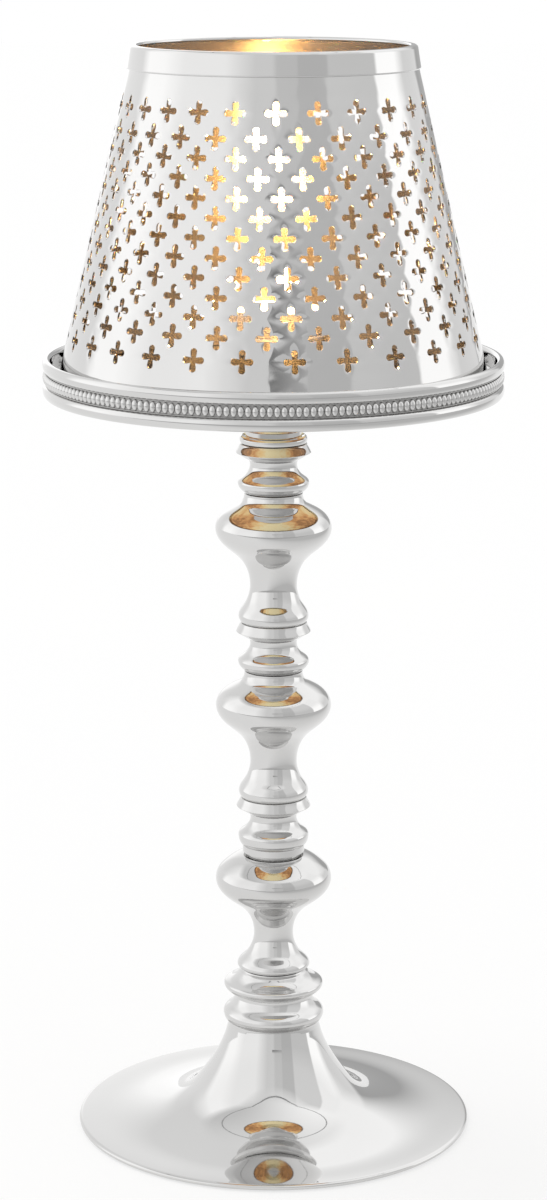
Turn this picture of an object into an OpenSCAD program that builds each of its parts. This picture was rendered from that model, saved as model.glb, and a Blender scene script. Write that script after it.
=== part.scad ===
// Candle lamp with a perforated shade, turned stem and trumpet foot.
// Millimetres, +Z up, origin at the centre of the face it stands on.
// A turned outline is a list of stations [radius, height, heading], written from the
// bottom up. Heading 0 runs outwards, 90 up and 180 inwards. A fourth number is the
// heading on leaving, where the outline has a corner. Cubic stretches join the stations.

/* [Foot] */
// Outer radius of the foot
foot_r = 79.4; // [70:0.1:95]
// Height of the foot, from the ground to the foot collar
foot_h = 42.4; // [40:0.1:55]
// Radius of the foot's top
foot_top_r = 18.2; // [17:0.1:20]
// Radius where the trumpet turns into the flat of the foot
sweep_r = 43.4; // [41:0.1:50]
// Height of that place
sweep_z = 7.4; // [7:0.1:10]
// Radius half way up the trumpet
trumpet_r = 31.7; // [30:0.1:36]
// Height of that place
trumpet_z = 15.8; // [14:0.1:20]
// Thickness of the spun foot
foot_wall = 1; // [0.8:0.05:1.2]
// Width of the rolled rim
rim_w = 2.9; // [2.5:0.1:4]
// Height of the rolled rim
rim_h = 2.2; // [2:0.1:3]
// Thickness of the foot's top web
web_t = 2; // [1.5:0.1:3]

/* [Foot filling] */
// How far the felt stands below the rim
felt_proud = 0.4; // [0.2:0.1:0.8]
// Thickness of the felt
felt_t = 1; // [0.8:0.1:1.2]
// Thickness of the steel base plate
plate_t = 0.6; // [0.5:0.1:0.8]
// Outer radius of the cast weight
weight_r = 39; // [30:0.5:40]
// Height of the weight's outer edge
weight_edge_h = 3.6; // [2:0.1:4]
// Radius of the weight's boss
weight_boss_r = 13.5; // [12.5:0.1:14.5]

/* [Foot collar] */
// Height of the double disc above the foot
collar_h = 22; // [20:0.1:26]
// Radius of its lower disc
lower_disc_r = 20.3; // [18.5:0.1:24]
// Radius of its upper disc
upper_disc_r = 20; // [18.5:0.1:24]
// Radius between the two discs
collar_waist_r = 15.4; // [13:0.1:17]
// Radius of its top
collar_top_r = 12.9; // [11:0.1:14]

/* [Balusters] */
// Height of the upper and the middle baluster
baluster_h = 52.1; // [50:0.1:60]
// Height of the lower baluster
lower_baluster_h = 49.4; // [47:0.1:56]
// Radius of the upper and the middle ball
ball_r = 23; // [21:0.1:27]
// Radius of the lower ball
lower_ball_r = 23.3; // [21:0.1:27]
// Depth of the ball's widest place below the baluster's top
ball_drop = 14; // [13:0.1:16]
// The same on the lower baluster
lower_ball_drop = 11.3; // [10.5:0.1:13]
// Radius of the waist
waist_r = 9.3; // [7:0.1:11]
// Radius of the lower waist
lower_waist_r = 7.9; // [7:0.1:9.5]
// Height of the waists above the baluster's foot
waist_z = 15; // [13.5:0.1:17]
// Radius of the bell at the foot of the baluster
bell_r = 13.9; // [12.5:0.1:16]
// Radius of the lower baluster's bell
lower_bell_r = 14.6; // [13:0.1:17]
// Radius of the baluster's neck under the reel
neck_r = 11.6; // [10:0.1:13]
// Radius at the bottom of the hollow in the lower ball's top
dip_r = 10.9; // [9.5:0.1:12]

/* [Reels] */
// Height of a reel
reel_h = 19.8; // [18.5:0.1:24]
// Height of the plain cylinder under the lower reel
reel_foot_h = 2.8; // [2:0.1:4]
// Radius of that cylinder
reel_foot_r = 12.4; // [11.5:0.1:13.5]
// Radius of the soft ring
ring_r = 14.1; // [13:0.1:16]
// Radius of the groove under and over the soft ring
groove_r = 11; // [9.5:0.1:12]
// Radius of the reel's neck
reel_neck_r = 9.3; // [7.5:0.1:10]
// Radius of the sharp flange
flange_r = 14.8; // [13.8:0.1:17]
// Radius of the reel's top
reel_top_r = 13.2; // [12:0.1:13.6]

/* [Neck under the tray] */
// Radius of the dished ring
neck_ring_r = 13.3; // [12:0.1:16]
// Height of the dished ring
neck_ring_h = 5.2; // [4:0.1:8]
// Radius of the neck above the ring
boss_neck_r = 9.8; // [7.5:0.1:11]
// Height of the boss that carries the tray
boss_h = 19.4; // [16:0.1:26]
// Radius of the boss under the tray
boss_top_r = 24; // [18:0.5:34]

/* [Tray] */
// Outer radius of the tray
tray_r = 90; // [88:0.1:110]
// Thickness of the tray's floor
floor_t = 1.2; // [0.8:0.1:2]
// Thickness of the brass plate under the floor
underplate_t = 1; // [0.6:0.1:1.6]
// Radial width of the rolled lip
lip_w = 3.4; // [3.4:0.1:4]
// Height of the rolled lip
lip_h = 4.7; // [4:0.1:7]
// Height of the groove that holds the beads
bead_groove_h = 5.2; // [4.6:0.1:7]
// Height of the moulding under the beads
moulding_h = 4.9; // [4:0.1:7]
// Number of beads
bead_count = 210; // [150:1:210]
// Height of a bead
bead_h = 4.3; // [3:0.1:4.5]
// Width of a bead
bead_w = 2.5; // [2:0.05:2.55]
// How far the beads stand behind the tray's edge
bead_inset = 0.1; // [0:0.05:0.1]
// Thickness of the tray's wall behind the beads
rim_t = 0.65; // [0.5:0.05:0.65]

/* [Rod and nuts] */
// Radius of the tie rod
rod_r = 4; // [3:0.1:4.2]
// Width of a nut across its flats
nut_flats = 13; // [11:0.1:14]
// Height of a nut
nut_h = 6.8; // [5:0.1:7]
// Thickness of a washer
washer_t = 1.2; // [1:0.1:1.6]
// Radius of a washer
washer_r = 9; // [8:0.1:11]
// Length of rod past each nut
rod_past_nut = 0.4; // [0.2:0.1:1]

/* [Candle] */
// Radius of the tealight
tealight_r = 19; // [15:0.1:21]
// Height of the tealight
tealight_h = 16.5; // [14:0.1:20]
// Wall of the tealight's can
can_wall = 0.4; // [0.3:0.05:0.6]
// Depth of the wax below the can's rim
wax_drop = 2.5; // [1:0.1:4]
// Radius of the wick
wick_r = 0.9; // [0.6:0.05:1.4]
// Length of wick above the wax
wick_out = 5; // [3:0.1:8]
// Radius of the wick's tab
tab_r = 7.5; // [5:0.1:10]
// Thickness of the wick's tab
tab_t = 0.4; // [0.3:0.05:0.6]
// Height of the tab's sleeve
sleeve_h = 3.4; // [2:0.1:5]
// Wall of the candle cup
cup_wall = 1.2; // [1:0.1:2]
// Depth of the cup above the candle's seat
cup_depth = 7; // [4:0.1:12]
// Width of the ledge that the candle stands on
ledge_w = 2.4; // [1.5:0.1:3]

/* [Shade] */
// Gap between the shade's bottom edge and the tray's wall
shade_gap = 2.8; // [1.4:0.1:6.6]
// Outer radius of the cone where the collar starts
shade_neck_r = 55.7; // [50:0.1:62]
// Height of the collar's lower edge above the shade's bottom
shade_neck_z = 118.5; // [112:0.1:140]
// Thickness of the shade's sheet
shade_wall = 1; // [0.6:0.05:1.4]
// Height of the collar
shade_collar_h = 9; // [7:0.1:14]
// How far the collar stands proud of the cone
collar_proud = 0.7; // [0.4:0.05:1.2]
// Width of the flange turned in round the shade's top opening
top_flange_w = 3.2; // [2.9:0.1:14]
// Thickness of the collar's top flange
top_flange_t = 1.5; // [1:0.1:2.5]

/* [Crosses] */
// Crosses in one row
cross_columns = 26; // [16:1:26]
// Rows of crosses
cross_rows = 13; // [7:1:13]
// Height of the lowest row above the shade's bottom
first_row_z = 17; // [12:0.1:20]
// Height from one row to the next
row_step = 7.1; // [6.8:0.05:7.3]
// Extra height above the lowest row
low_extra = 1.2; // [0:0.1:2]
// Extra height below the highest row
high_extra = 2.1; // [0:0.1:3]
// Turn of the whole pattern to the right of the front, in degrees
pattern_turn = 7.6; // [-7:0.1:8]
// Lean of the pattern to the left from one row up to the next, in degrees
row_lean = 0.4; // [-1:0.05:1]
// How far the columns drift round from even spacing, in degrees
column_drift = 2.4; // [0:0.1:3]
// Where the columns drift most, in degrees to the right of the front
drift_at = 75; // [0:5:180]
// How far each row's columns spread past those of the row below, in degrees
row_fan = 0.35; // [0:0.05:0.4]
// Width of a cross
cross_w = 8.4; // [6:0.1:8.6]
// Height of a cross along the slope
cross_h = 8.9; // [6:0.1:9]
// Width of an arm
arm_w = 2.4; // [1.4:0.1:2.8]

/* [Clearances] */
// Between the rod and what it passes through
rod_gap = 0.25; // [0.1:0.05:0.5]
// Between a locating spigot and its socket
spigot_gap = 0.1; // [0.05:0.05:0.3]
// Between parts that slide into each other by hand
seat_gap = 0.2; // [0.1:0.05:0.5]
// Between the tealight and its cup
cup_gap = 0.6; // [0.3:0.1:1]
// Between a thread or a wick and the hole that grips it
grip_gap = 0.05; // [0.02:0.01:0.1]

/* [Hidden] */

$fn = 96;
// Straight pieces in one stretch of an outline
steps = 7;
// Locating spigots on the turned pieces of the stem
spigot_r = 6.2;
spigot_h = 1.6;
socket_depth = spigot_h + seat_gap;
rod_hole_r = rod_r + rod_gap;

nickel = "gainsboro";
steel = "lightslategray";
brass = "goldenrod";

// Heights of the joints of the stem, from the ground up
collar_z = foot_h;
lower_baluster_z = collar_z + collar_h;
lower_reel_z = lower_baluster_z + lower_baluster_h;
middle_baluster_z = lower_reel_z + reel_foot_h + reel_h;
middle_reel_z = middle_baluster_z + baluster_h;
upper_baluster_z = middle_reel_z + reel_h;
upper_reel_z = upper_baluster_z + baluster_h;
neck_z = upper_reel_z + reel_h;
boss_z = neck_z + neck_ring_h;
underplate_z = boss_z + boss_h;
pan_z = underplate_z + underplate_t;
tray_floor_z = pan_z + floor_t;

// Foot filling
plate_z = felt_t;
weight_z = plate_z + plate_t;
web_z = foot_h - web_t;
recess_r = foot_r - rim_w;
pocket_r = nut_flats / sqrt(3) + 3;
foot_washer_z = weight_z + 2 + rod_past_nut + nut_h;
foot_nut_z = foot_washer_z - nut_h;
rod_bottom_z = foot_nut_z - rod_past_nut;

// Rim of the tray
wall_r = tray_r - lip_w;
band_in_r = wall_r + rim_t + seat_gap / 2;
bead_ring_r = tray_r - bead_inset - bead_w / 2;
groove_top_z = tray_floor_z + 2.8;
groove_bottom_z = groove_top_z - bead_groove_h;

// Candle cup, from the tray's floor up
cup_floor_t = 1;
cup_in_r = tealight_r + cup_gap;
cup_out_r = cup_in_r + cup_wall;
tray_washer_z = tray_floor_z + cup_floor_t;
tray_nut_z = tray_washer_z + washer_t;
rod_top_z = tray_nut_z + nut_h + rod_past_nut;
candle_z = rod_top_z + 0.6;
wax_z = candle_z + can_wall;
wax_top_z = candle_z + tealight_h - wax_drop;

// Shade
shade_r = wall_r - shade_gap;
slope = (shade_r - shade_neck_r) / shade_neck_z;
lean = atan(slope);
shade_z = tray_floor_z;
shade_h = shade_neck_z + shade_collar_h;
sheet_top_z = shade_h - top_flange_t;
function cone_r(height) = shade_r - slope * height;
function row_z(row) = first_row_z + row * row_step
    + (row > 0 ? low_extra : 0) + (row == cross_rows - 1 ? high_extra : 0);
function cross_turn(row, column) = pattern_turn - row * row_lean
    + (column + (row % 2) / 2) * 360 / cross_columns;
function drifted(row, turn) = turn + column_drift * cos(2 * (turn - drift_at))
    + row_fan * (row - (cross_rows - 1) / 2) * sin(turn);

// Outline maker
function point(station) = [station[0], station[1]];
function leaving(station) = len(station) == 4 ? station[3] : station[2];
function unit(heading) = [cos(heading), sin(heading)];
function bend(from, to) = (to - from + 540) % 360 - 180;
function cubic(a, b, c, d, t) =
    pow(1 - t, 3) * a + 3 * pow(1 - t, 2) * t * b + 3 * (1 - t) * t * t * c + pow(t, 3) * d;
function stretch(a, b) =
    let (
        arm = norm(point(b) - point(a)) / (3 * pow(cos(bend(leaving(a), b[2]) / 4), 2)),
        out = point(a) + arm * unit(leaving(a)),
        in = point(b) - arm * unit(b[2])
    )
    [for (i = [1 : steps]) cubic(point(a), out, in, point(b), i / steps)];
function outline(stations) = concat([point(stations[0])],
    [for (i = [1 : len(stations) - 1]) each stretch(stations[i - 1], stations[i])]);
// The same station on the inner face of a sheet
function inner(station, wall) = [station[0] - wall * sin(station[2]),
    station[1] + wall * cos(station[2]), station[2]];

// A turned piece from height 0 to its last station, with the rod's hole, a spigot below
// and a socket above
module turned(stations, spigot = true, socket = true) {
    top = stations[len(stations) - 1][1];
    foot_points = spigot ? [[rod_hole_r, -spigot_h], [spigot_r, -spigot_h], [spigot_r, 0]]
        : [[rod_hole_r, 0]];
    socket_r = spigot_r + spigot_gap;
    head_points = socket ? [[socket_r, top], [socket_r, top - socket_depth],
        [rod_hole_r, top - socket_depth]] : [[rod_hole_r, top]];
    rotate_extrude() polygon(concat(foot_points, outline(stations), head_points));
}

module ring(outer, hole, height) {
    rotate_extrude() translate([hole, 0]) square([outer - hole, height]);
}

module hex_nut() {
    difference() {
        cylinder(r = nut_flats / sqrt(3), h = nut_h, $fn = 6);
        translate([0, 0, -1]) cylinder(r = rod_r + grip_gap, h = nut_h + 2);
    }
}

// The trumpet's outer face from the rim to the top
function trumpet() = [
    [foot_r - rim_w / 3, felt_proud, 0],
    [foot_r, felt_proud + rim_h / 2, 90],
    [foot_r - rim_w / 2, felt_proud + rim_h, 177],
    [(foot_r + sweep_r) / 2, (felt_proud + rim_h) * 0.7 + sweep_z * 0.2, 174],
    [sweep_r, sweep_z, 160],
    [trumpet_r, trumpet_z, 128],
    [foot_top_r + 0.4, foot_h - 2, 102],
    [foot_top_r, foot_h, 98]
];
module foot() color(nickel) {
    face = trumpet();
    shelf_r = recess_r - 3;
    lining = concat([[shelf_r, weight_z, 177]],
        [for (i = [3 : 6]) inner(face[i], foot_wall)]);
    under = outline(lining);
    below_web = [for (p = under) if (p[1] < web_z) p];
    inside_r = foot_top_r - foot_wall;
    hole_r = spigot_r + spigot_gap;
    rotate_extrude() polygon(concat(outline(face),
        [[hole_r, foot_h], [hole_r, web_z], [inside_r, web_z]],
        [for (i = [len(below_web) - 1 : -1 : 0]) below_web[i]],
        [[recess_r, weight_z], [recess_r, felt_proud]]));
}
module felt_pad() color("darkgreen") cylinder(r = recess_r - 1, h = felt_t);
module base_plate() color(steel)
    translate([0, 0, plate_z]) cylinder(r = recess_r - seat_gap, h = plate_t);
module base_weight() color("dimgray") {
    sweep_end = [trumpet_r - 1.5, trumpet_z - 3.6];
    boss_start_z = trumpet_z + 14;
    rotate_extrude() polygon([[pocket_r, weight_z], [weight_r, weight_z],
        [weight_r, weight_z + weight_edge_h], sweep_end,
        [(sweep_end[0] + weight_boss_r) / 2, trumpet_z + 4], [weight_boss_r, boss_start_z],
        [weight_boss_r, web_z], [rod_hole_r, web_z], [rod_hole_r, foot_washer_z + washer_t],
        [pocket_r, foot_washer_z + washer_t]]);
}
module foot_washer() color(steel)
    translate([0, 0, foot_washer_z]) ring(washer_r, rod_hole_r, washer_t);
module foot_nut() color(steel) translate([0, 0, foot_nut_z]) hex_nut();
module tie_rod() color(steel)
    translate([0, 0, rod_bottom_z]) cylinder(r = rod_r, h = rod_top_z - rod_bottom_z);

module foot_collar() color(nickel) translate([0, 0, collar_z]) turned([
    [foot_top_r - 0.3, 0, 10],
    [lower_disc_r, 3.6, 92],
    [lower_disc_r - 2.1, 6.5, 145],
    [collar_waist_r + 0.2, 10, 112],
    [collar_waist_r, 11.7, 90, 25],
    [upper_disc_r, collar_h - 6.1, 98],
    [upper_disc_r - 2.5, collar_h - 4.5, 152],
    [collar_top_r + 1.2, collar_h - 1.4, 120],
    [collar_top_r, collar_h, 100]
]);

function baluster(height) = [
    [bell_r - 1.3, 0, 45],
    [bell_r, 2.7, 90],
    [waist_r + 1.3, waist_z - 5.8, 112],
    [waist_r, waist_z, 90],
    [waist_r + 2.8, height - ball_drop - 13.6, 56],
    [ball_r - 3, height - ball_drop - 6.2, 45],
    [ball_r, height - ball_drop, 90],
    [ball_r - 3.4, height - ball_drop + 6.2, 142],
    [neck_r + 2, height - 4.4, 150],
    [neck_r, height - 0.8, 95],
    [neck_r, height, 90]
];
function lower_baluster_outline(height) = [
    [collar_top_r - 0.4, 0, 35],
    [lower_bell_r, 1.8, 90],
    [lower_waist_r + 2.5, waist_z - 7.8, 124],
    [lower_waist_r, waist_z, 90],
    [lower_waist_r + 2, height - lower_ball_drop - 15.5, 60],
    [lower_ball_r - 6.5, height - lower_ball_drop - 8.9, 35],
    [lower_ball_r, height - lower_ball_drop, 90],
    [lower_ball_r - 2.3, height - lower_ball_drop + 5.3, 138],
    [lower_ball_r - 7.4, height - 2.2, 152],
    [dip_r, height - 0.9, 180, 90],
    [dip_r, height, 90]
];
module upper_baluster() color(nickel)
    translate([0, 0, upper_baluster_z]) turned(baluster(baluster_h));
module middle_baluster() color(nickel)
    translate([0, 0, middle_baluster_z]) turned(baluster(baluster_h));
module lower_baluster() color(nickel)
    translate([0, 0, lower_baluster_z]) turned(lower_baluster_outline(lower_baluster_h));

// A reel, whose rings start at the given height and radius
function reel(foot, start_r) = [
    [start_r, foot, 90, 35],
    [ring_r, foot + 4.2, 90],
    [groove_r - 0.1, foot + 7.7, 131],
    [reel_neck_r, foot + reel_h - 8.6, 90],
    [reel_neck_r + 0.5, foot + reel_h - 6.5, 62, 22],
    [flange_r - 0.6, foot + reel_h - 3.9, 34],
    [flange_r, foot + reel_h - 3.4, 112],
    [reel_top_r, foot + reel_h, 104]
];
module upper_reel() color(nickel)
    translate([0, 0, upper_reel_z]) turned(reel(0, groove_r));
module middle_reel() color(nickel)
    translate([0, 0, middle_reel_z]) turned(reel(0, groove_r));
module lower_reel() color(nickel) translate([0, 0, lower_reel_z])
    turned(concat([[reel_foot_r, 0, 90]], reel(reel_foot_h, reel_foot_r)));

module neck_collar() color(nickel) translate([0, 0, neck_z]) turned([
    [neck_ring_r - 0.9, 0, 60],
    [neck_ring_r, 1.3, 90],
    [neck_ring_r, neck_ring_h - 1, 90],
    [neck_ring_r - 0.7, neck_ring_h, 170],
    [boss_neck_r + 1.2, neck_ring_h - 1, 200, 90],
    [boss_neck_r + 1.2, neck_ring_h, 90]
]);
module tray_boss() color(nickel) translate([0, 0, boss_z]) turned([
    [boss_neck_r + 0.8, 0, 120],
    [boss_neck_r, 4, 90],
    [boss_neck_r + 2.6, boss_h - 6, 50],
    [boss_top_r, boss_h - 1.4, 8, 60],
    [boss_top_r + 0.5, boss_h, 90]
], true, false);

module tray_underplate() color(brass)
    translate([0, 0, underplate_z]) ring(wall_r - seat_gap, rod_hole_r, underplate_t);
module tray_pan() color(nickel) translate([0, 0, pan_z]) {
    lip_z = groove_top_z - pan_z;
    rotate_extrude() polygon(concat([[rod_hole_r, 0], [wall_r + rim_t, 0]],
        outline([
            [wall_r + rim_t, lip_z, 90, 0],
            [tray_r - 1.2, lip_z, 0, 22],
            [tray_r, lip_z + lip_h / 2, 90],
            [tray_r - lip_w / 2, lip_z + lip_h, 180],
            [wall_r + 0.1, lip_z + lip_h * 0.7, 262],
            [wall_r, lip_z, 270],
            [wall_r, floor_t + 1.2, 270],
            [wall_r - 1.2, floor_t, 180]
        ]), [[rod_hole_r, floor_t]]));
}
module tray_moulding() color(nickel) {
    top = groove_bottom_z;
    rotate_extrude() polygon(concat([[wall_r, pan_z], [wall_r, top - moulding_h + 0.6]],
        outline([
            [wall_r, top - moulding_h + 0.6, 270, 300],
            [wall_r + 1.6, top - moulding_h, 0],
            [tray_r, top - moulding_h / 2, 90],
            [tray_r - 1.1, top - 0.2, 160],
            [tray_r - 1.6, top, 120]
        ]), [[wall_r + rim_t, top], [wall_r + rim_t, pan_z]]));
}
module beaded_band() color(nickel) {
    $fn = 2 * bead_count;
    skirt_h = (bead_groove_h - bead_h) / 2;
    skirt_r = bead_ring_r - 0.16 * bead_w;
    translate([0, 0, groove_bottom_z]) ring(skirt_r, band_in_r, skirt_h);
    translate([0, 0, groove_top_z - skirt_h]) ring(skirt_r, band_in_r, skirt_h);
    translate([0, 0, groove_bottom_z + skirt_h]) linear_extrude(height = bead_h) {
        difference() {
            circle(r = bead_ring_r - 0.08 * bead_w);
            circle(r = band_in_r);
        }
        for (i = [0 : bead_count - 1])
            rotate(i * 360 / bead_count) translate([bead_ring_r, 0]) circle(r = bead_w / 2, $fn = 24);
    }
}

module candle_cup() color(nickel) translate([0, 0, tray_floor_z]) {
    seat = candle_z - tray_floor_z;
    rotate_extrude() polygon(concat([[rod_hole_r, 0], [cup_out_r + 2, 0]],
        outline([
            [cup_out_r + 2, 0.8, 90, 180],
            [cup_out_r, 3, 90],
            [cup_out_r, seat + cup_depth - 1.6, 90],
            [cup_out_r + 0.8, seat + cup_depth - 0.6, 90],
            [cup_out_r, seat + cup_depth, 180]
        ]),
        [[cup_in_r, seat + cup_depth], [cup_in_r, seat], [cup_in_r - ledge_w, seat],
            [cup_in_r - ledge_w, cup_floor_t], [rod_hole_r, cup_floor_t]]));
}
module tray_washer() color(steel)
    translate([0, 0, tray_washer_z]) ring(washer_r, rod_hole_r, washer_t);
module tray_nut() color(steel) translate([0, 0, tray_nut_z]) hex_nut();

module tealight_can() color("silver") translate([0, 0, candle_z])
    rotate_extrude() polygon([[0, 0], [tealight_r, 0], [tealight_r, tealight_h],
        [tealight_r - can_wall, tealight_h], [tealight_r - can_wall, can_wall], [0, can_wall]]);
module tealight_wax() color("ivory") {
    sleeve_r = wick_r + can_wall;
    hole_r = wick_r + grip_gap;
    rotate_extrude() polygon([[tab_r + grip_gap, wax_z],
        [tealight_r - can_wall - grip_gap, wax_z], [tealight_r - can_wall - grip_gap, wax_top_z],
        [hole_r, wax_top_z], [hole_r, wax_z + sleeve_h + grip_gap],
        [sleeve_r + grip_gap, wax_z + sleeve_h + grip_gap],
        [sleeve_r + grip_gap, wax_z + tab_t + grip_gap],
        [tab_r + grip_gap, wax_z + tab_t + grip_gap]]);
}
module tealight_wick() color("black") translate([0, 0, wax_z + tab_t])
    cylinder(r = wick_r, h = wax_top_z + wick_out - wax_z - tab_t, $fn = 24);
module wick_tab() color(steel) translate([0, 0, wax_z]) {
    hole_r = wick_r + grip_gap / 2;
    rotate_extrude($fn = 48) polygon([[0, 0], [tab_r, 0], [tab_r, tab_t],
        [wick_r + can_wall, tab_t], [wick_r + can_wall, sleeve_h], [hole_r, sleeve_h],
        [hole_r, tab_t], [0, tab_t]]);
}

// One bar of a cross, cut as a sector of a ring so that its edges follow the cone
module bar(radius, width, height) {
    sweep = width / radius * 180 / PI;
    reach = 4 * shade_wall;
    rotate([0, 0, -sweep / 2]) translate([0, 0, -height / 2])
        rotate_extrude(angle = sweep) translate([radius - reach, 0]) square([2 * reach, height]);
}
module cross(radius) {
    bar(radius, cross_w, arm_w);
    bar(radius, arm_w, cross_h * cos(lean));
}
module shade_shell() color(nickel) translate([0, 0, shade_z]) difference() {
    rotate_extrude() polygon([[shade_r, 0], [cone_r(sheet_top_z), sheet_top_z],
        [cone_r(sheet_top_z) - shade_wall, sheet_top_z], [shade_r - shade_wall, 0]]);
    for (row = [0 : cross_rows - 1])
        for (column = [0 : cross_columns - 1])
            rotate([0, 0, drifted(row, cross_turn(row, column)) - 90])
                translate([0, 0, row_z(row)]) cross(cone_r(row_z(row)));
}
module shade_collar() color(nickel) translate([0, 0, shade_z]) {
    skin = seat_gap / 2;
    low_r = cone_r(shade_neck_z);
    high_r = cone_r(sheet_top_z);
    rim_r = cone_r(shade_h) + 1.6;
    opening_r = rim_r - top_flange_w;
    rotate_extrude() polygon(concat([[low_r + skin, shade_neck_z]],
        outline([
            [low_r + collar_proud - 0.2, shade_neck_z, 0, 45],
            [low_r + collar_proud, shade_neck_z + 0.4, 95],
            [rim_r, shade_h - 1, 96],
            [rim_r - 1, shade_h, 180],
            [opening_r + 0.6, shade_h, 180],
            [opening_r, shade_h - 0.6, 270],
            [opening_r, sheet_top_z, 270]
        ]), [[high_r + skin, sheet_top_z]]));
}

felt_pad();
base_plate();
base_weight();
foot();
foot_washer();
foot_nut();
tie_rod();
foot_collar();
lower_baluster();
lower_reel();
middle_baluster();
middle_reel();
upper_baluster();
upper_reel();
neck_collar();
tray_boss();
tray_underplate();
tray_pan();
tray_moulding();
beaded_band();
candle_cup();
tray_washer();
tray_nut();
tealight_can();
tealight_wax();
tealight_wick();
wick_tab();
shade_shell();
shade_collar();
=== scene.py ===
"""Looks of the candle lamp with shade: mirror-polished nickel, with a lit tealight inside.

Most turned pieces are lathed afresh from the section of their CAD node, with rounded edges
and true normals, because a mirror shows each facet. The ring under the tray, the shade's
sheet and collar, the beads, the wax, the wick and the flame are modelled here. Hidden pieces
keep the meshes of their CAD nodes. Units are metres, in the CAD's frame.
"""
from math import atan2, ceil, cos, hypot, pi, radians, sin, tau

import bpy
import numpy as np
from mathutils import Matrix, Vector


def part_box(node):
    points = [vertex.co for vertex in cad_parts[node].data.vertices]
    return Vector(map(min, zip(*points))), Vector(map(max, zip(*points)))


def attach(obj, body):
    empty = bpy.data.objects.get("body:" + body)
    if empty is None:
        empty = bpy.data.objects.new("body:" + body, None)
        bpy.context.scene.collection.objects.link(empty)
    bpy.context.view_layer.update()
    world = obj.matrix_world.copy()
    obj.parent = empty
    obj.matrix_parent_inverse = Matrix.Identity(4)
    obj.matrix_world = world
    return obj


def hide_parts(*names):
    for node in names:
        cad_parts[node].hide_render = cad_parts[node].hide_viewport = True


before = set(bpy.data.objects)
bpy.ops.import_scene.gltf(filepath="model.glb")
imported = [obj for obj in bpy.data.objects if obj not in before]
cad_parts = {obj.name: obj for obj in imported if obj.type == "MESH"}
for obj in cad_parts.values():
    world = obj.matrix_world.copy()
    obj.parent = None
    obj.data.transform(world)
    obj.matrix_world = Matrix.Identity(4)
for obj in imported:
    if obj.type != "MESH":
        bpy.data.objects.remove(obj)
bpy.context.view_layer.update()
MM = 0.001


# Camera of the photograph, whose frame is 1200 pixels high

FOCAL_PX = 3267.6
FRAME_H_PX = 1200
SENSOR_MM = 36
CAMERA_BACK = 1.262
CAMERA_UP = 0.504
CAMERA_PITCH = radians(12.81)


def make_camera():
    """The camera that a fit to the photograph's ellipses and outline gives."""
    data = bpy.data.cameras.new("camera")
    data.sensor_fit = "AUTO"
    data.sensor_width = SENSOR_MM
    data.lens = FOCAL_PX / FRAME_H_PX * SENSOR_MM
    camera = bpy.data.objects.new("camera", data)
    camera.location = (0, -CAMERA_BACK, CAMERA_UP)
    camera.rotation_euler = (pi / 2 - CAMERA_PITCH, 0, 0)
    bpy.context.scene.collection.objects.link(camera)
    bpy.context.scene.camera = camera


# Shader helpers

def new_material(name, **sockets):
    """A material with one Principled shader, whose named sockets are set."""
    mat = bpy.data.materials.new(name)
    mat.use_nodes = True
    shader = mat.node_tree.nodes["Principled BSDF"]
    for socket, value in sockets.items():
        shader.inputs[socket.replace("_", " ")].default_value = value
    return mat, mat.node_tree, shader


def add_node(tree, kind, **settings):
    """A node with the given values for its sockets, or its own settings."""
    node = tree.nodes.new(kind)
    for key, value in settings.items():
        if key in node.inputs:
            node.inputs[key].default_value = value
        else:
            setattr(node, key, value)
    return node


def noise(tree, scale, detail=2.0, stretch=(1, 1, 1)):
    """Noise in the object's own space, where scale is features to the metre."""
    place = add_node(tree, "ShaderNodeTexCoord")
    scaling = add_node(tree, "ShaderNodeMapping")
    scaling.inputs["Scale"].default_value = stretch
    texture = add_node(tree, "ShaderNodeTexNoise", Scale=scale, Detail=detail)
    tree.links.new(place.outputs["Object"], scaling.inputs["Vector"])
    tree.links.new(scaling.outputs["Vector"], texture.inputs["Vector"])
    return texture.outputs["Fac"]


def axes(tree, space="Object"):
    """The x, y and z of the point that is shaded, or of a direction in the world."""
    place = add_node(tree, "ShaderNodeTexCoord")
    split = add_node(tree, "ShaderNodeSeparateXYZ")
    tree.links.new(place.outputs[space], split.inputs["Vector"])
    return [split.outputs[axis] for axis in "XYZ"]


def spread(tree, source, low, high, start=0.3, end=0.7):
    """The source's range from start to end, spread over low to high."""
    node = add_node(tree, "ShaderNodeMapRange")
    for socket, value in (("From Min", start), ("From Max", end), ("To Min", low), ("To Max", high)):
        node.inputs[socket].default_value = value
    tree.links.new(source, node.inputs["Value"])
    return node.outputs["Result"]


def ramp(tree, source, stops):
    """A colour ramp over the source, from stops of a place and a colour."""
    node = add_node(tree, "ShaderNodeValToRGB")
    elements = node.color_ramp.elements
    while len(elements) < len(stops):
        elements.new(1.0)
    for element, (place, colour) in zip(elements, stops):
        element.position = place
        element.color = (*colour, 1)
    tree.links.new(source, node.inputs["Fac"])
    return node.outputs["Color"]


def tint(tree, shader, source, dark, light):
    """Base colour that runs between two colours by the source."""
    colour = ramp(tree, source, [(0.3, dark), (0.7, light)])
    tree.links.new(colour, shader.inputs["Base Color"])


def add_math(tree, operation, *inputs):
    """A math node over sockets and numbers."""
    node = add_node(tree, "ShaderNodeMath", operation=operation)
    for socket, value in zip(node.inputs, inputs):
        if isinstance(value, (int, float)):
            socket.default_value = value
        else:
            tree.links.new(value, socket)
    return node.outputs["Value"]


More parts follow.
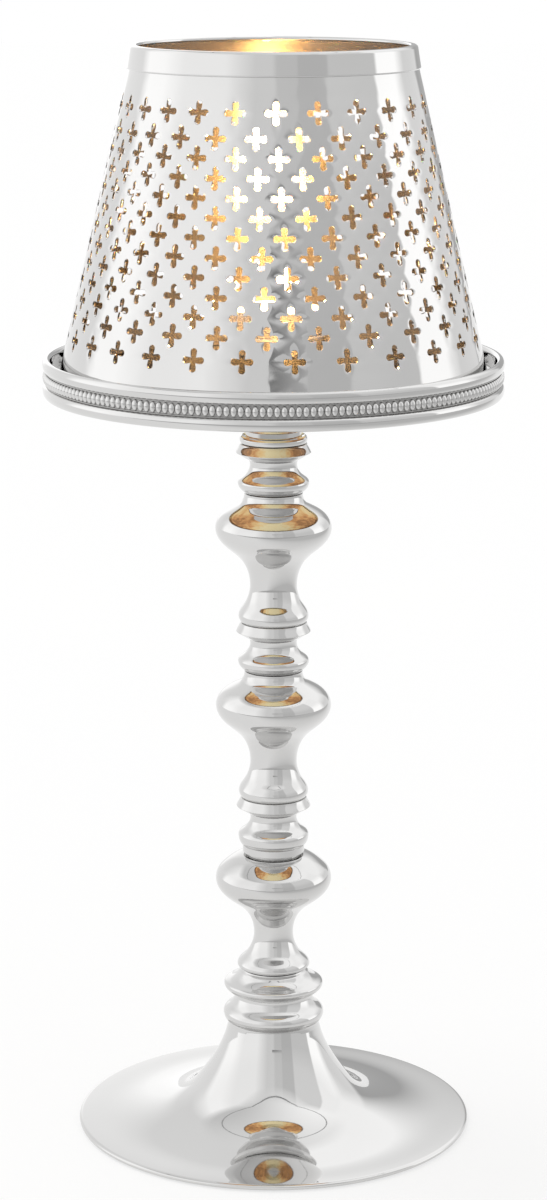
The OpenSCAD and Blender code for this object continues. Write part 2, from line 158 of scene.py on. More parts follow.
def relief(tree, shader, source, height, under=None):
    """A bump of the given height in metres, over another bump if there is one."""
    bump = add_node(tree, "ShaderNodeBump", Strength=1.0, Distance=height)
    tree.links.new(source, bump.inputs["Height"])
    if under is not None:
        tree.links.new(under, bump.inputs["Normal"])
    tree.links.new(bump.outputs["Normal"], shader.inputs["Normal"])
    return bump.outputs["Normal"]


# Materials. Each polished metal clouds from its first to its second tone

NICKEL = (0.615, 0.612, 0.607), (0.655, 0.652, 0.647)
SHEET_NICKEL = (0.61, 0.607, 0.602), (0.66, 0.657, 0.652)
# The shade's inside: darker than the nickel outside, as painted shade, with a warm tone
WARM_LINING_PAINTED_SHADE = (0.39, 0.34, 0.29), (0.47, 0.42, 0.36)
# Darker than the nickel: painted shade in the recess round the beads
BEAD_GAP_PAINTED_SHADE = (0.38, 0.375, 0.37), (0.46, 0.455, 0.45)
# Tones of the brass plate's painted reflection: a painted highlight to the front and back, painted
# shade to the sides
BRASS_PAINTED_HIGHLIGHT, BRASS = (1.0, 0.86, 0.52), (1.0, 0.7, 0.34)
BRASS_PAINTED_HALF_SHADE, BRASS_PAINTED_SHADE = (0.8, 0.42, 0.18), (0.5, 0.26, 0.12)
POLISH_MARKS = 0.0004 * MM
BRUSHED_BY = 0.6
FLAME_GLOW = 22


def polished_metal(name, tones=None, shine=(0.02, 0.06), wave=0.02 * MM, wave_scale=35):
    """Mirror polish: faint clouding, slow waves of the surface and fine polishing lines."""
    mat, tree, shader = new_material(name, Metallic=1.0)
    if tones:
        tint(tree, shader, noise(tree, 14, 3), *tones)
    haze = noise(tree, 60, 4, (1, 1, 2.5))
    tree.links.new(spread(tree, haze, *shine), shader.inputs["Roughness"])
    waves = relief(tree, shader, noise(tree, wave_scale, 1), wave)
    lines = noise(tree, 900, 2, (0.08, 0.08, 1))
    relief(tree, shader, lines, POLISH_MARKS, waves)
    return mat


def brushed(mat):
    """Draws a turned metal's highlights out across its brush marks, which run round it."""
    tree = mat.node_tree
    shader = tree.nodes["Principled BSDF"]
    shader.inputs["Anisotropic"].default_value = BRUSHED_BY
    shader.inputs["Anisotropic Rotation"].default_value = 0.25
    round_it = add_node(tree, "ShaderNodeTangent", direction_type="RADIAL", axis="Z")
    tree.links.new(round_it.outputs["Tangent"], shader.inputs["Tangent"])
    return mat


def brass_painted_sheen():
    """Polished brass with a painted reflection: pale to the front and back and deep brown to the
    sides, by the direction round its axis.
    """
    mat = polished_metal("brass_painted_sheen", shine=(0.05, 0.1))
    tree = mat.node_tree
    # How far the point lies to the side of the axis sets the painted shade
    x2, y2 = (add_math(tree, "POWER", axis, 2.0) for axis in axes(tree)[:2])
    painted_shade_share = add_math(tree, "DIVIDE", x2, add_math(tree, "ADD", x2, y2))
    cloud = spread(tree, noise(tree, 90, 4), -0.25, 0.25)
    colour = ramp(tree, add_math(tree, "ADD", painted_shade_share, cloud),
                  [(0.1, BRASS_PAINTED_HIGHLIGHT), (0.45, BRASS), (0.8, BRASS_PAINTED_HALF_SHADE), (1, BRASS_PAINTED_SHADE)])
    tree.links.new(colour, tree.nodes["Principled BSDF"].inputs["Base Color"])
    return mat


def zinc_steel():
    mat, tree, shader = new_material("zinc_steel", Metallic=1.0)
    tint(tree, shader, noise(tree, 120, 4), (0.5, 0.52, 0.54), (0.68, 0.69, 0.71))
    tree.links.new(spread(tree, noise(tree, 500, 3), 0.28, 0.45), shader.inputs["Roughness"])
    relief(tree, shader, noise(tree, 2500, 2), 0.004 * MM)
    return mat


def cast_iron():
    mat, tree, shader = new_material("cast_iron", Metallic=0.35)
    tint(tree, shader, noise(tree, 180, 5), (0.035, 0.035, 0.038), (0.09, 0.088, 0.085))
    tree.links.new(spread(tree, noise(tree, 700, 3), 0.6, 0.85), shader.inputs["Roughness"])
    relief(tree, shader, noise(tree, 900, 4), 0.25 * MM)
    return mat


def felt():
    mat, tree, shader = new_material("felt", Roughness=0.95, Sheen_Weight=0.5,
                                     Sheen_Roughness=0.5)
    tint(tree, shader, noise(tree, 2500, 5), (0.02, 0.024, 0.03), (0.07, 0.075, 0.085))
    relief(tree, shader, noise(tree, 3500, 4), 0.15 * MM)
    return mat


def pressed_aluminium():
    mat, tree, shader = new_material("pressed_aluminium", Metallic=1.0)
    tint(tree, shader, noise(tree, 90, 3), (0.82, 0.82, 0.83), (0.9, 0.9, 0.91))
    grain = noise(tree, 1200, 2, (0.1, 0.1, 1))
    tree.links.new(spread(tree, grain, 0.18, 0.3), shader.inputs["Roughness"])
    relief(tree, shader, noise(tree, 700, 2, (1, 1, 0.2)), 0.03 * MM)
    return mat


def candle_wax():
    mat, tree, shader = new_material("candle_wax", Subsurface_Weight=0.6,
                                     Subsurface_Scale=0.004, IOR=1.44)
    shader.inputs["Subsurface Radius"].default_value = (1.0, 0.6, 0.35)
    tint(tree, shader, noise(tree, 200, 3), (0.9, 0.83, 0.7), (0.95, 0.9, 0.8))
    tree.links.new(spread(tree, noise(tree, 90, 2), 0.12, 0.35), shader.inputs["Roughness"])
    relief(tree, shader, noise(tree, 350, 2), 0.06 * MM)
    return mat


def charred_wick():
    mat, tree, shader = new_material("charred_wick", Roughness=0.9)
    tint(tree, shader, noise(tree, 1500, 3), (0.02, 0.015, 0.012), (0.2, 0.14, 0.09))
    relief(tree, shader, noise(tree, 4000, 2), 0.1 * MM)
    return mat


def flame_fire(low_z, high_z):
    """A flame that is orange at the wick and yellow-white in its body."""
    mat, tree, shader = new_material("candle_flame", Roughness=1.0)
    shader.inputs["Base Color"].default_value = (0, 0, 0, 1)
    height = spread(tree, axes(tree)[2], 0, 1, low_z, high_z)
    colour = ramp(tree, height, [(0, (0.75, 0.2, 0.06)), (0.25, (1.0, 0.62, 0.25)),
                                 (0.6, (1.0, 0.75, 0.38)), (1, (1.0, 0.45, 0.12))])
    tree.links.new(colour, shader.inputs["Emission Color"])
    shader.inputs["Emission Strength"].default_value = FLAME_GLOW
    return mat


# Meshes from points

WELD = 1e-7
CELL_SHIFT = 0.31


def make_piece(name, verts, faces, normals, materials, face_slots=None):
    """An object with the normals that are given.

    Points in one cell of the weld's size become one point. The cells are shifted, so that a
    round coordinate doesn't fall on the edge between two.
    """
    a, b, c, d = (verts[faces[:, i]] for i in range(4))
    facing = np.sum(np.cross(c - a, d - b) * normals[faces].sum(axis=1), axis=1)
    faces = np.where(facing[:, None] < 0, faces[:, ::-1], faces)
    keys = np.floor(verts / WELD + CELL_SHIFT).astype(np.int64)
    first, index = np.unique(keys, axis=0, return_index=True, return_inverse=True)[1:]
    corners = [list(dict.fromkeys(face)) for face in index.reshape(-1)[faces].tolist()]
    whole = [i for i, face in enumerate(corners) if len(face) > 2]
    mesh = bpy.data.meshes.new(name)
    mesh.from_pydata(verts[first].tolist(), [], [corners[i] for i in whole])
    mesh.polygons.foreach_set("use_smooth", np.ones(len(whole), bool))
    if face_slots is not None:
        mesh.polygons.foreach_set("material_index", np.asarray(face_slots)[whole].astype(np.int32))
    for mat in materials:
        mesh.materials.append(mat)
    mesh.normals_split_custom_set_from_vertices(normals[first].tolist())
    piece = bpy.data.objects.new(name, mesh)
    bpy.context.scene.collection.objects.link(piece)
    return piece


def grid_faces(rows, columns, closed=False):
    """Quads between rows of points that run round; closed joins the last row to the first."""
    i = np.arange(rows if closed else rows - 1)[:, None]
    j = np.arange(columns)[None, :]
    here, above = i * columns, (i + 1) % rows * columns
    right = (j + 1) % columns
    return np.stack([here + j, here + right, above + right, above + j], axis=-1).reshape(-1, 4)


def unit(v):
    return v / np.linalg.norm(v, axis=-1, keepdims=True)


# Turned pieces, from the sections of their CAD nodes

CORNER = radians(24)
EDGE_ROUND = 0.16 * MM
EDGE_SHARE = 0.42
LONG_SIDE = 3
SAME_PLACE = 5e-6
SAME_ANGLE = 1e-4
FINE_TURN = radians(4.5)
MOST_STEPS = 8


def section_links(mesh):
    """Points of a turned mesh's section, and which are joined by edges along the piece."""
    co = np.empty(len(mesh.vertices) * 3)
    mesh.vertices.foreach_get("co", co)
    co = co.reshape(-1, 3)
    ends = np.empty(len(mesh.edges) * 2, int)
    mesh.edges.foreach_get("vertices", ends)
    a, b = ends.reshape(-1, 2).T
    radius, angle = np.hypot(co[:, 0], co[:, 1]), np.arctan2(co[:, 1], co[:, 0])
    around = np.abs((angle[a] - angle[b] + pi) % tau - pi) > SAME_ANGLE
    around[(radius[a] < SAME_PLACE) | (radius[b] < SAME_PLACE)] = False
    places, found, links = [], {}, {}

    def place_of(vertex):
        at = np.array([radius[vertex], co[vertex, 2]])
        key = tuple(np.round(at / SAME_PLACE))
        if key not in found:
            near = (i for i, p in enumerate(places) if np.hypot(*(p - at)) < SAME_PLACE)
            found[key] = next(near, len(places))
            if found[key] == len(places):
                places.append(at)
        return found[key]

    for i, j in zip(a[~around], b[~around]):
        p, q = place_of(i), place_of(j)
        if p != q:
            links.setdefault(p, set()).add(q)
            links.setdefault(q, set()).add(p)
    return places, links


def close_ends(places, links):
    """Joins ends left open by a flat face: to each other, or to the axis where there is one."""
    def join(p, q):
        links.setdefault(p, set()).add(q)
        links.setdefault(q, set()).add(p)

    ends = sorted((i for i in links if len(links[i]) == 1), key=lambda i: tuple(places[i][::-1]))
    on_axis = []
    while ends:
        end = ends.pop(0)
        if ends and abs(places[ends[0]][1] - places[end][1]) < SAME_PLACE:
            join(end, ends.pop(0))
        else:
            places.append(np.array([0.0, places[end][1]]))
            on_axis.append(len(places) - 1)
            join(end, on_axis[-1])
    for low, high in zip(on_axis[::2], on_axis[1::2]):
        join(low, high)


def section(node):
    """The half section of a turned node, outer side to the right, and whether it is a ring."""
    places, links = section_links(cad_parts[node].data)
    close_ends(places, links)
    start = min(links, key=lambda i: (places[i][0], places[i][1]))
    walk, before = [start], None
    while True:
        step = next(i for i in sorted(links[walk[-1]]) if i != before)
        if step == start:
            break
        before = walk[-1]
        walk.append(step)
    points = np.array([places[i] for i in walk])
    r, z = points.T
    if np.sum(r * np.roll(z, -1) - np.roll(r, -1) * z) < 0:
        points = np.roll(points[::-1], 1, axis=0)
    ring = points[:, 0].min() > SAME_PLACE
    if not ring and points[-1, 0] > SAME_PLACE:
        points = np.roll(points, -1, axis=0)
    return points, ring


def headed(points, ring):
    """(point, heading) along a section, with each sharp corner cut back to a small round."""
    out = []
    count = len(points)
    for i, here in enumerate(points):
        a, b = here - points[i - 1], points[(i + 1) % count] - here
        la, lb = np.hypot(*a), np.hypot(*b)
        if not ring and i in (0, count - 1):
            out.append((here, a / la if i else b / lb))
            continue
        da, db = a / la, b / lb
        turn = abs(atan2(da[0] * db[1] - da[1] * db[0], da @ db))
        if turn > CORNER:
            reach = min(EDGE_ROUND, EDGE_SHARE * la, EDGE_SHARE * lb)
            out += [(here - da * reach, da), (here + db * reach, db)]
        elif max(la, lb) > LONG_SIDE * min(la, lb):
            out.append((here, da if la > lb else db))
        else:
            out.append((here, unit(da * lb + db * la)))
    return out


def smooth_section(points, ring):
    """Finely spaced points and outward normals of the smooth curve through a section.

    Between two points it is a cubic, whose pull at its ends makes an even turn an arc.
    """
    knots = headed(points, ring)
    profile, normals = [], []
    for (p, s), (q, e) in zip(knots, knots[1:] + knots[:1] if ring else knots[1:]):
        turn = abs(atan2(s[0] * e[1] - s[1] * e[0], s @ e))
        pull = np.hypot(*(q - p)) / cos(turn / 4) ** 2
        steps = min(max(ceil(turn / FINE_TURN), 1), MOST_STEPS)
        for t in np.arange(steps) / steps:
            here = ((1 + 2 * t) * (1 - t) ** 2 * p + t * t * (3 - 2 * t) * q
                    + t * (1 - t) ** 2 * pull * s - t * t * (1 - t) * pull * e)
            along = (6 * t * (1 - t) * (q - p) + (1 - t) * (1 - 3 * t) * pull * s
                     + t * (3 * t - 2) * pull * e)
            profile.append(here)
            normals.append((along[1], -along[0]))
    if not ring:
        profile.append(knots[-1][0])
        normals.append((knots[-1][1][1], -knots[-1][1][0]))
    return np.array(profile), unit(np.array(normals))


def lathe(name, profile, normals, mat, segments=128, closed=False):
    """A turned surface from a profile of (radius, height) points."""
    turn = np.arange(segments) * tau / segments
    c, s = np.cos(turn), np.sin(turn)
    r, z = np.maximum(profile[:, 0, None], 0), profile[:, 1, None]
    verts = np.stack([r * c, r * s, z + 0 * c], axis=-1).reshape(-1, 3)
    nr, nz = normals[:, 0, None], normals[:, 1, None]
    directions = np.stack([nr * c, nr * s, nz + 0 * c], axis=-1).reshape(-1, 3)
    return make_piece(name, verts, grid_faces(len(profile), segments, closed), directions, [mat])


def dress(piece, body, slot, *nodes):
    """Sets a piece on its body and hides the nodes that it stands in for. The slot is not used."""
    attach(piece, body)
    if nodes:
        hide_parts(*nodes)
    return piece


def turned_piece(node, name, mat, body, slot, segments=128):
    """The piece that stands in for a turned CAD node."""
    points, ring = section(node)
    profile, normals = smooth_section(points, ring)
    dress(lathe(name, profile, normals, mat, segments, ring), body, slot, node)


def own_turned(name, points, mat, segments=96):
    """A turned surface through points written here, from the axis and back to it or a ring."""
    points = np.array(points)
    ring = points[:, 0].min() > SAME_PLACE
    profile, normals = smooth_section(points, ring)
    return lathe(name, profile, normals, mat, segments, ring)


# The shade's perforated sheet. Lengths on the sheet are in millimetres until it is placed

SHEET_T = 1.0
NECK_R = 55.7
NECK_H = 118.5
COLUMNS = 26
ROWS = 13
ROW_STEP = 7.1
FIRST_ROW = 17
ABOVE_FIRST_ROW = 1.2
BELOW_LAST_ROW = 2.1
PATTERN_TURN = radians(7.6)
ROW_LEAN = radians(0.4)
DRIFT = radians(2.4)
DRIFT_AT = radians(75)
FAN = radians(0.35)
HOLE_HALF_W = 4.2
HOLE_HALF_H = 4.45
LOBE_R = 1.25
NOTCH = 0.95
EDGE_BEVEL = 0.17
BEVEL_EASE = 0.3
PUNCH_DIP = 0.04
DIP_PLACE = 0.55
QUARTER = 14
PLAIN_STEPS = 6
ROUND_STEPS = 8
INNER_FACE = 5
PITCH = tau / COLUMNS


def row_height(row):
    """Height of a row's middle over the sheet's lower edge."""
    return (FIRST_ROW + row * ROW_STEP + ABOVE_FIRST_ROW * (row > 0)
            + BELOW_LAST_ROW * (row == ROWS - 1))


def row_angle(row):
    """Evenly spaced angle of a row's first cross."""
    return -pi / 2 + PATTERN_TURN - row * ROW_LEAN + (row % 2) * PITCH / 2


def placed(angle, row):
    """Where an evenly spaced angle of a row lies, as the columns drift and the rows spread."""
    front = angle + pi / 2
    return (angle + DRIFT * np.cos(2 * (front - DRIFT_AT))
            + FAN * (row - (ROWS - 1) / 2) * np.sin(front))


def half_lobe(reach, count):
    """From the tip of an arm, round its lobe and straight in to the notch by the next arm."""
    middle = np.array([reach - LOBE_R, 0])
    notch = np.array([NOTCH, NOTCH]) - middle
    away = np.hypot(*notch)
    leave = atan2(notch[1], notch[0]) - np.arccos(LOBE_R / away)
    arc = LOBE_R * leave
    total = arc + (away ** 2 - LOBE_R ** 2) ** 0.5
    off = middle + LOBE_R * np.array([cos(leave), sin(leave)])
    points = []
    for way in np.arange(count) * total / count:
        a = way / LOBE_R
        share = (way - arc) / (total - arc)
        points.append(middle + LOBE_R * np.array([cos(a), sin(a)]) if way < arc
                      else off + share * (notch + middle - off))
    return np.array(points)


def hole_outline():
    """The whole outline of a cross with four rounded arms, anticlockwise from its right tip."""
    right = half_lobe(HOLE_HALF_W, QUARTER // 2)
    top = half_lobe(HOLE_HALF_H, QUARTER // 2)
    corner = np.array([[NOTCH, NOTCH]])
    quarter = np.concatenate([right, corner, top[:0:-1, ::-1]])
    second = np.concatenate([top[:1, ::-1], (quarter[1:] * (-1, 1))[::-1]])
    half = np.concatenate([quarter, second])
    return np.concatenate([half, -half])


def outline_normals(outline):
    """Unit normals that point out of a closed anticlockwise outline."""
    along = np.roll(outline, -1, axis=0) - np.roll(outline, 1, axis=0)
    return unit(np.stack([along[:, 1], -along[:, 0]], axis=-1))


class Sheet:
    """Collects the sheet's points by angle, height and depth, with their normals and faces."""

    def __init__(self, bottom_r, bottom_z):
        self.bottom_r, self.bottom_z = bottom_r, bottom_z
        self.slope = (bottom_r - NECK_R) / NECK_H
        self.lean = 1 / hypot(1, self.slope)
        self.verts, self.normals, self.faces, self.slots = [], [], [], []
        self.count = 0

    def radius(self, height):
        return self.bottom_r - self.slope * height

    def laid(self, points, angle, height):
        """Angles and heights of points that are measured along the sheet from a place on it."""
        return np.stack([angle + points[:, 0] / self.radius(height),
                         height + points[:, 1] * self.lean], axis=-1)

    def add(self, angle, height, depth, outward, across=None):
        """Points on the cone, with normals that mix its own normal and one along the sheet."""
        angle, height = np.broadcast_arrays(angle, height)
        r = self.radius(height) - depth
        c, s = np.cos(angle), np.sin(angle)
        place = np.stack([r * c, r * s, self.bottom_z + height], axis=-1) * MM
        cone = np.stack([c, s, self.slope + 0 * c], axis=-1) * self.lean
        normal = cone * outward
        if across is not None:
            side = np.stack([-s, c, 0 * c], axis=-1)
            up = np.stack([-self.slope * c, -self.slope * s, 1 + 0 * c], axis=-1) * self.lean
            normal = normal + side * across[..., :1] + up * across[..., 1:]
        self.verts.append(place.reshape(-1, 3))
        self.normals.append(unit(normal).reshape(-1, 3))
        start = self.count
        self.count += angle.size
        return start

    def band(self, low, high, size, wrap, slot):
        """Quads between two rows of points that start at the given numbers."""
        j = np.arange(size if wrap else size - 1)
        k = (j + 1) % size
        self.faces.append(np.stack([low + j, low + k, high + k, high + j], axis=-1))
        self.slots.append(np.full(len(j), slot))

    def piece(self, name, materials):
        return make_piece(name, np.concatenate(self.verts), np.concatenate(self.faces),
                          np.concatenate(self.normals), materials, np.concatenate(self.slots))


def cell_corners(row):
    """Heights of the corners above and below a cross, which are the next rows' heights."""
    above = row_height(row + 1) if row < ROWS - 1 else row_height(row) + ROW_STEP
    below = row_height(row - 1) if row > 0 else row_height(row) - ROW_STEP
    return above, below


def cell_edge(row, turn):
    """The diamond round a cross, as (angle, height), with points to match the outline's."""
    z = row_height(row)
    above, below = cell_corners(row)
    corners = [(placed(turn + PITCH / 2, row), z), (placed(turn - ROW_LEAN, row + 1), above),
               (placed(turn - PITCH / 2, row), z), (placed(turn + ROW_LEAN, row - 1), below)]
    t = np.arange(QUARTER)[:, None] / QUARTER
    sides = [np.array(a) * (1 - t) + np.array(b) * t
             for a, b in zip(corners, corners[1:] + corners[:1])]
    return np.concatenate(sides)


def cell_rings(sheet, outline, away, row, turn):
    """Rings of a cell, from its outer face through the hole's wall to its inner face.

    Each is its points, their depth in the sheet, and the shares in their normals of the sheet's
    own normal and of the one that points into the hole.
    """
    eased_by = EDGE_BEVEL * BEVEL_EASE
    centre, z = placed(turn, row), row_height(row)
    rim, half, mouth = (sheet.laid(points, centre, z) for points in (
        outline + away * EDGE_BEVEL, outline + away * eased_by, outline))
    edge = cell_edge(row, turn)
    middle = edge * (1 - DIP_PLACE) + rim * DIP_PLACE
    return [(edge, 0, 1, 0), (middle, PUNCH_DIP / 5, 1, 0.02), (rim, PUNCH_DIP, 1, 0.06),
            (half, PUNCH_DIP + eased_by, 0.7, 0.7), (mouth, EDGE_BEVEL, 0, 1),
            (mouth, SHEET_T - EDGE_BEVEL, 0, 1), (half, SHEET_T - eased_by, -0.7, 0.7),
            (rim, SHEET_T, -1, 0), (middle, SHEET_T, -1, 0), (edge, SHEET_T, -1, 0)]


def perforate(sheet, outline, away):
    """The diamond cells, each with the bevelled wall of its hole and its inner face."""
    for row in range(ROWS):
        for column in range(COLUMNS):
            rings = cell_rings(sheet, outline, away, row, row_angle(row) + column * PITCH)
            starts = [sheet.add(place[:, 0], place[:, 1], depth, outward, -inward * away)
                      for place, depth, outward, inward in rings]
            for i, (low, high) in enumerate(zip(starts, starts[1:])):
                sheet.band(low, high, len(outline), True, 0 if i < INNER_FACE else 1)


def half_cells(sheet, row, upward):
    """Fills the triangles between the outer diamonds and the plain band beyond them."""
    z, far = row_height(row), row_height(row) + upward * ROW_STEP
    t = np.arange(QUARTER + 1)[:, None] / QUARTER
    share = np.arange(PLAIN_STEPS + 1) / PLAIN_STEPS
    height = z + (far - z) * t + 0 * share
    width = PLAIN_STEPS + 1
    for column in range(COLUMNS):
        turn = row_angle(row) + column * PITCH
        between = placed(turn + PITCH / 2, row)
        left, right = (placed(turn + shift - upward * ROW_LEAN, row + upward)
                       for shift in (0, PITCH))
        angle = between * (1 - t) + (left * (1 - share) + right * share) * t
        for depth, outward in ((0, 1), (SHEET_T, -1)):
            start = sheet.add(angle, height, depth, outward)
            for low in range(start, start + QUARTER * width, width):
                sheet.band(low, low + width, width, False, 0 if outward > 0 else 1)


def plain_bands(sheet, top):
    """The sheet below the lowest crosses and above the highest, with rounded ends."""
    count = COLUMNS * PLAIN_STEPS
    share = np.arange(PLAIN_STEPS) / PLAIN_STEPS
    round_r = SHEET_T / 2
    outer_bands = ROUND_STEPS // 2 + 2
    bend = np.linspace(0, pi, ROUND_STEPS + 1)
    for end, row, sign in ((0, 0, -1), (top, ROWS - 1, 1)):
        start = row_height(row) + sign * ROW_STEP
        evenly = row_angle(row) - sign * ROW_LEAN + np.arange(COLUMNS + 1)[:, None] * PITCH
        corners = placed(evenly, row + sign)
        turn = (corners[:-1] * (1 - share) + corners[1:] * share).reshape(-1)
        rows = [(start, 0, 1, 0)]
        rows += [(end - sign * round_r * (1 - sin(b)), round_r * (1 - cos(b)), cos(b), sin(b))
                 for b in bend]
        rows += [(start, SHEET_T, -1, 0)]
        starts = [sheet.add(turn, h, depth, outward,
                            np.broadcast_to((0.0, sign * end_on), (count, 2)))
                  for h, depth, outward, end_on in rows]
        for i, (one, two) in enumerate(zip(starts, starts[1:])):
            sheet.band(one, two, count, True, 0 if i < outer_bands else 1)


def make_shade(metal, inside):
    """The perforated cone, with a material for its outer side and one for its lining."""
    (x, _, bottom), (_, _, top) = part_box("shade_shell")
    sheet = Sheet(-x / MM, bottom / MM)
    outline = hole_outline()
    perforate(sheet, outline, outline_normals(outline))
    half_cells(sheet, ROWS - 1, 1)
    half_cells(sheet, 0, -1)
    plain_bands(sheet, (top - bottom) / MM)
    dress(sheet.piece("shade_sheet", [metal, inside]), "shade", "polished_nickel", "shade_shell")


# The ring under the tray and the band round the shade's top, in millimetres until shifted

BORE_R = 4.3
SPIGOT_R = 6.2
SPIGOT_H = 1.6 * MM
BOSS_FOOT = 2.3
COLLAR_LIP = 0.2
COLLAR_TAPER = 1.2
COLLAR_FLANGE = 4.2
FLANGE_T = 1.5


def shifted(points, r, z):
    """Points in millimetres about a place in metres, as points in metres."""
    return [(r + dr * MM, z + dz * MM) for dr, dz in points]


def make_neck_ring(metal):
    """The rolled ring under the tray, with the start of the boss's neck in its dished top."""
    (x, _, bottom), (_, _, top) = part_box("neck_collar")
    foot, outer = bottom + SPIGOT_H, -x
    spigot = [(BORE_R, -SPIGOT_H / MM), (SPIGOT_R, -SPIGOT_H / MM), (SPIGOT_R, 0)]
    rolled = [(-0.9, 0), (-0.2, 0.5), (0, 1.2), (0, 2.2), (-0.3, 2.9), (-0.9, 3.3), (-1.5, 3.1),
              (-2.2, 2.9)]
    points = shifted(spigot, 0, foot) + shifted(rolled, outer, foot)
    points += [(outer - BOSS_FOOT * MM, top), (BORE_R * MM, top)]
    ring = own_turned("neck_ring_turned", points, metal, 128)
    dress(ring, "stand", "polished_nickel", "neck_collar")


def make_shade_collar(metal):
    """The plain band round the shade's top edge, straight outside and rolled in at its top."""
    (x, _, bottom), (_, _, top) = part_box("shade_collar")
    foot_r = -x - COLLAR_LIP * MM
    rim_r, flange_r = foot_r - COLLAR_TAPER * MM, foot_r - COLLAR_FLANGE * MM
    foot = [(-0.4, 0), (0, 0), (COLLAR_LIP, 0.4)]
    rolled = [(COLLAR_LIP, -1.1), (-0.1, -0.45), (-0.6, -0.1), (-1.2, 0)]
    opening = [(0.6, 0), (0.1, -0.3), (0, -0.8), (0, -FLANGE_T)]
    points = shifted(foot, foot_r, bottom) + shifted(rolled, rim_r, top)
    points += shifted(opening, flange_r, top) + shifted([(-1, -FLANGE_T)], rim_r, top)
    band = own_turned("shade_collar_spun", points, metal, 192)
    dress(band, "shade", "polished_nickel", "shade_collar")


# The beads on the tray's rim

BEADS = 210
BEAD_W = 2.6 * MM
BEAD_H = 4.1 * MM
BEAD_FRONT = 0.575
BEAD_FLATNESS = 0.8
WALL_BEHIND = 0.08
SKIRT_AHEAD = 0.05
BACKING_T = 1.2 * MM
SKIRT = 0.45 * MM


def bead_shape(steps=12, rows=9):
    """The front of one bead, a tall rounded oval: points and normals about its middle."""
    up = np.linspace(-pi / 2, pi / 2, rows)[:, None]
    side = np.linspace(-pi * BEAD_FRONT, pi * BEAD_FRONT, steps)
    flat = np.abs(np.cos(up)) ** BEAD_FLATNESS
    x = BEAD_W / 2 * flat * np.cos(side)
    y = BEAD_W / 2 * flat * np.sin(side)
    z = BEAD_H / 2 * np.sin(up) + 0 * side
    points = np.stack([x, y, z], axis=-1)
    normals = unit(np.stack([x / BEAD_W ** 2, y / BEAD_W ** 2, z / BEAD_H ** 2], axis=-1))
    return points, normals


def make_bead_backing(recess, ring_r, bottom, top):
    """The band that the beads stand on, with a narrow skirt above and below them, darker than the
    beads as painted shade in the gaps.
    """
    wall_r, skirt_r = ring_r - WALL_BEHIND * BEAD_W, ring_r + SKIRT_AHEAD * BEAD_W
    back_r = wall_r - BACKING_T
    return own_turned("bead_backing", [
        (back_r, bottom), (skirt_r, bottom), (skirt_r, bottom + SKIRT), (wall_r, bottom + SKIRT),
        (wall_r, top - SKIRT), (skirt_r, top - SKIRT), (skirt_r, top), (back_r, top)],
        recess, BEADS)


def make_beads(metal, recess):
    """The beaded band: one bead, repeated round the ring, on its backing."""
    (x, _, bottom), (_, _, top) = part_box("beaded_band")
    ring_r = -x - BEAD_W / 2
    band = make_bead_backing(recess, ring_r, bottom, top)
    points, normals = bead_shape()
    rows, columns = points.shape[:2]
    i, j = np.arange(rows - 1)[:, None], np.arange(columns - 1)
    here = i * columns + j
    quads = np.stack([here, here + 1, here + columns + 1, here + columns], -1).reshape(-1, 4)
    verts, directions, faces = [], [], []
    for bead in range(BEADS):
        a = bead * tau / BEADS
        spin = np.array([[cos(a), sin(a), 0], [-sin(a), cos(a), 0], [0, 0, 1]])
        at = points.reshape(-1, 3) + (ring_r, 0, (bottom + top) / 2)
        verts.append(at @ spin)
        directions.append(normals.reshape(-1, 3) @ spin)
        faces.append(quads + bead * rows * columns)
    beads = make_piece("beads", np.concatenate(verts), np.concatenate(faces),
                       np.concatenate(directions), [metal])
    beads.parent = band
    dress(band, "stand", "polished_nickel", "beaded_band")


# The candle

POOL_DEPTH = 1.1 * MM
WICK_LEAN = 1.1 * MM
WICK_BENDS_FROM, BEND_SHARPNESS = 0.6, 1.6
STRAND_SHARE, BRAID_SHARE = 0.86, 0.1
BRAID_TURN = 60
TIP_STEEPNESS, FOOT_STEEPNESS = 9, 30
STEEPEST = 3
FLAME_LEAN = 4.5 * MM
FOOT_LEAN = 0.4
FLAME_OVER_WICK = 2 * MM
FLAME_H = 14.5 * MM
FLAME_R = 3.1 * MM
FULLEST_LOW, BLUNTNESS, TAPER = 0.75, 0.7, 0.35
CANDLE_WATTS = 1.6
CANDLE_COLOUR = (1.0, 0.6, 0.22)


def make_wax(mat):
    """The wax with its melted pool, which rises to the rim and a little up the wick."""
    (x, _, bottom), (_, _, top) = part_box("tealight_wax")
    r, pool = -x, top - POOL_DEPTH
    foot, rim = [(-0.4, 0), (0, 0.4)], [(0, -0.15), (-0.15, 0), (-0.6, -0.1), (-1.4, -0.55)]
    shore = [(-2.6, 0.15), (-4.2, 0)]
    by_wick = [(5, 0), (2.6, -0.05), (1.6, 0.15), (0.9, 0.5), (0, 0.6)]
    points = [(0, bottom)] + shifted(foot, r, bottom) + shifted(rim, r, top)
    points += shifted(shore, r, pool) + shifted(by_wick, 0, pool)
    dress(own_turned("wax_melting", points, mat), "tealight", "candle_wax", "tealight_wax")


def tube(name, centres, radii, mat, segments=16):
    """A round strand along a gently bent line, closed at its ends by small domes."""
    centres, radii = np.array(centres), np.array(radii)
    along = unit(np.gradient(centres, axis=0))
    side = unit(np.cross(along, (0, 1, 0)))
    other = np.cross(along, side)
    turn = np.arange(segments) * tau / segments
    ring = (side[:, None, :] * np.cos(turn)[None, :, None]
            + other[:, None, :] * np.sin(turn)[None, :, None])
    verts = centres[:, None, :] + ring * radii[:, None, None]
    slope = np.gradient(radii) / np.linalg.norm(np.gradient(centres, axis=0), axis=1)
    slope = np.clip(slope, -STEEPEST, STEEPEST)
    normals = unit(ring - along[:, None, :] * slope[:, None, None])
    return make_piece(name, verts.reshape(-1, 3), grid_faces(len(centres), segments),
                      normals.reshape(-1, 3), [mat])


